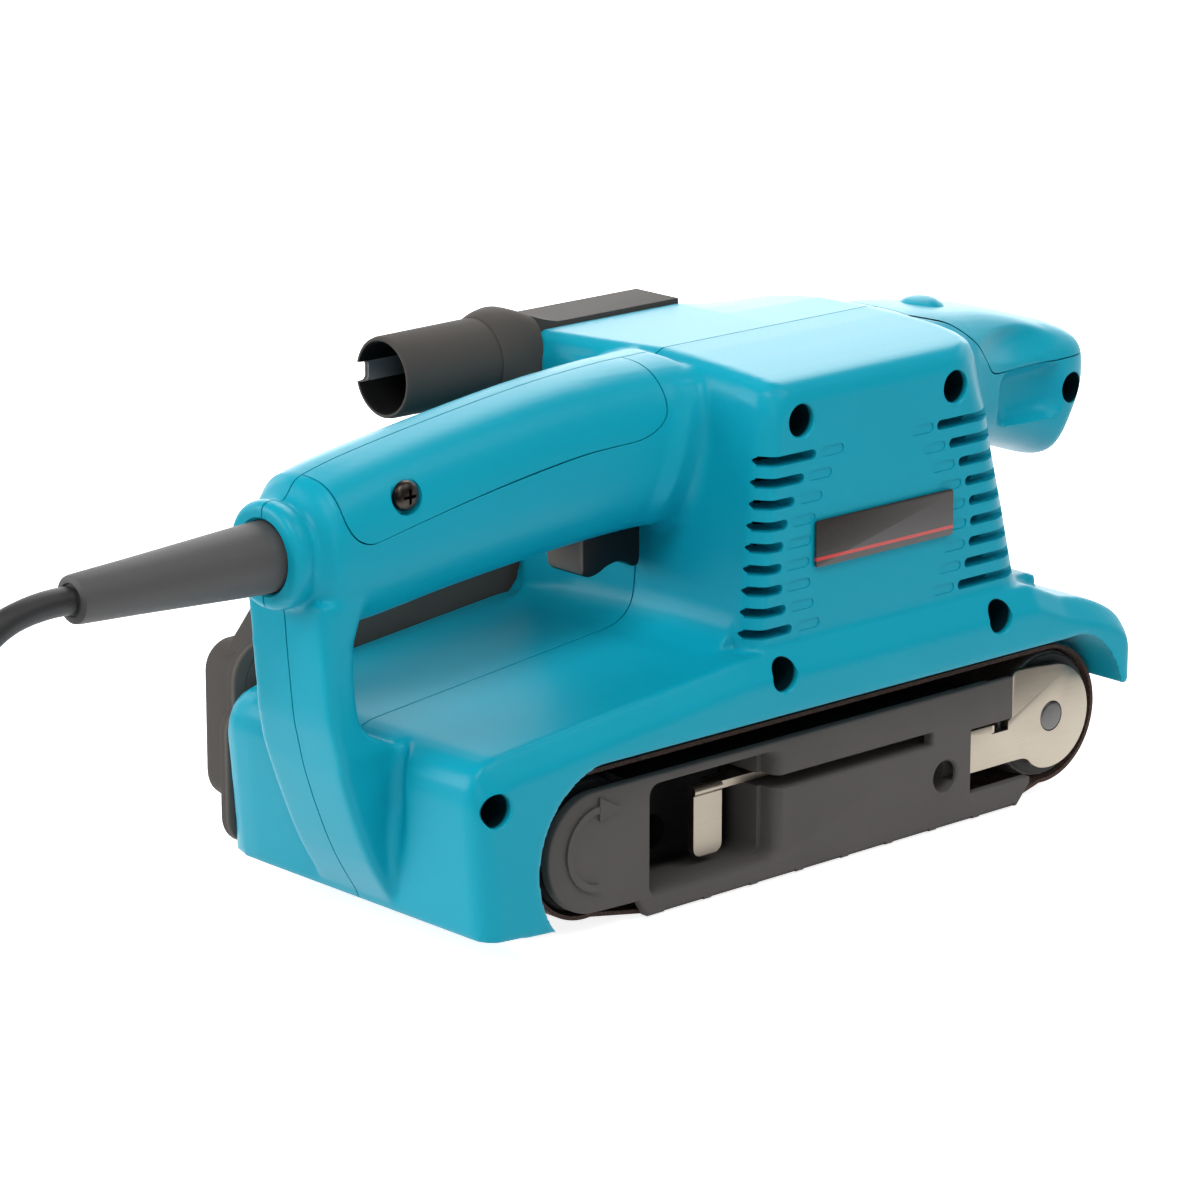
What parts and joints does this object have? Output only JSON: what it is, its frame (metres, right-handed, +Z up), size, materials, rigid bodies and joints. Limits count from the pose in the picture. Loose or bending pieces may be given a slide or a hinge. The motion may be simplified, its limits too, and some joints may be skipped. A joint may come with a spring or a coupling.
{
  "type": "handheld belt sander",
  "caption": "Mains belt sander with teal moulded housing, rear loop handle, front grip, abrasive belt on two rollers, tension lever and dust nozzle.",
  "frame": {"origin": "middle of the flat sanding sole on the work surface", "axes": "+X towards the front grip, +Y towards the tool's left side with the drive cover, +Z up from the work"},
  "size_m": [0.4824, 0.1742, 0.141],
  "materials": {
    "teal_moulding": "satin moulded glass-filled plastic",
    "plain_label": "bare dark label plate",
    "charcoal_moulding": "fine-grained moulded plastic",
    "black_moulding": "moulded plastic",
    "blackened_steel": "blackened",
    "plain_steel": "plain rolled",
    "iron_laminations": "stacked sheet",
    "copper": "enamelled copper",
    "aluminium": "turned",
    "brass": "plain",
    "carbon": "pressed carbon",
    "roller_rubber": "ground rubber",
    "band_rubber": "moulded rubber",
    "abrasive_cloth": "grit on cloth",
    "cork": "pressed cork",
    "grey_rubber": "moulded rubber",
    "cord_rubber": "extruded rubber sheath"
  },
  "bodies": {
    "sander": {"belt_cover_screw_1": "blackened_steel", "belt_cover_screw_2": "blackened_steel", "belt_frame": "charcoal_moulding", "brush_front": "carbon", "brush_holder_front": "brass", "brush_holder_rear": "brass", "brush_rear": "carbon", "cord_coil": "cord_rubber", "cord_guard": "grey_rubber", "cord_lead": "cord_rubber", "cord_tie": "grey_rubber", "drive_bearing_left": "plain_steel", "drive_belt": "band_rubber", "drive_belt_cover": "charcoal_moulding", "drive_bush_right": "brass", "dust_housing": "charcoal_moulding", "dust_nozzle": "charcoal_moulding", "field_coil_front": "copper", "field_coil_rear": "copper", "grip_cap": "teal_moulding", "handle_cover": "teal_moulding", "handle_cover_screw": "blackened_steel", "housing_left": "teal_moulding", "housing_right": "teal_moulding", "housing_screw_1": "blackened_steel", "housing_screw_2": "blackened_steel", "housing_screw_3": "blackened_steel", "housing_screw_4": "blackened_steel", "housing_screw_5": "blackened_steel", "housing_screw_6": "blackened_steel", "lever_pin": "blackened_steel", "motor_bearing_left": "plain_steel", "motor_bearing_right": "plain_steel", "name_plate": "plain_label", "plug": "black_moulding", "plug_pin_1": "brass", "plug_pin_2": "brass", "sanding_belt": "abrasive_cloth", "sole_pad": "cork", "sole_plate": "plain_steel", "stator": "iron_laminations", "switch_body": "black_moulding", "tension_spring": "plain_steel", "trigger_spring": "plain_steel"},
    "drive": {"drive_roller": "roller_rubber", "drive_shaft": "plain_steel", "driven_pulley": "aluminium"},
    "motor": {"rotor_core": "iron_laminations", "rotor_shaft": "plain_steel", "commutator": "copper", "dust_fan": "aluminium", "motor_pulley": "plain_steel"},
    "carriage": {"roller_arm": "plain_steel", "front_axle": "blackened_steel"},
    "front_roller": {"front_roller": "aluminium", "front_bush": "brass"},
    "tension_lever": {"tension_lever": "plain_steel"},
    "trigger": {"trigger": "black_moulding"},
    "lock_button": {"lock_button": "black_moulding"},
    "tracking_knob": {"tracking_knob": "black_moulding"}
  },
  "joints": [
    {"name": "motor_spin", "type": "hinge", "parent": "sander", "child": "motor", "pos_m": [0.015, 0, 0.097], "axis": [0, 1, 0], "continuous": true},
    {"name": "drive_roller_spin", "type": "hinge", "parent": "sander", "child": "drive", "pos_m": [-0.08764, 0, 0.0229], "axis": [0, 1, 0], "continuous": true},
    {"name": "front_carriage", "type": "slide", "parent": "sander", "child": "carriage", "axis": [-1, 0, 0], "range_m": [0, 0.008], "stiffness_N_per_m": 2500, "springref_m": -0.012, "deforming": ["tension_spring"]},
    {"name": "front_roller_spin", "type": "hinge", "parent": "carriage", "child": "front_roller", "pos_m": [0.08164, 0, 0.0229], "axis": [0, 1, 0], "continuous": true},
    {"name": "lever_swing", "type": "hinge", "parent": "sander", "child": "tension_lever", "pos_m": [0.038, -0.03, 0.0254], "axis": [0, 0, 1], "range_deg": [0, 45]},
    {"name": "trigger_press", "type": "slide", "parent": "sander", "child": "trigger", "axis": [0, 0, 1], "range_m": [0, 0.004], "stiffness_N_per_m": 900, "springref_m": -0.004, "deforming": ["trigger_spring"]},
    {"name": "lock_press", "type": "slide", "parent": "sander", "child": "lock_button", "axis": [0, -1, 0], "range_m": [0, 0.002], "stiffness_N_per_m": 600, "springref_m": -0.002},
    {"name": "tracking_turn", "type": "hinge", "parent": "sander", "child": "tracking_knob", "pos_m": [0.058, 0.0563, 0.019], "axis": [0, 1, 0], "range_deg": [-180, 180]}
  ],
  "couplings": [
    {"joint": "drive_roller_spin", "follows": "motor_spin", "ratio": 0.35714},
    {"joint": "front_roller_spin", "follows": "motor_spin", "ratio": 0.35714},
    {"joint": "lever_swing", "follows": "front_carriage", "rad_per_m": 98.175}
  ]
}
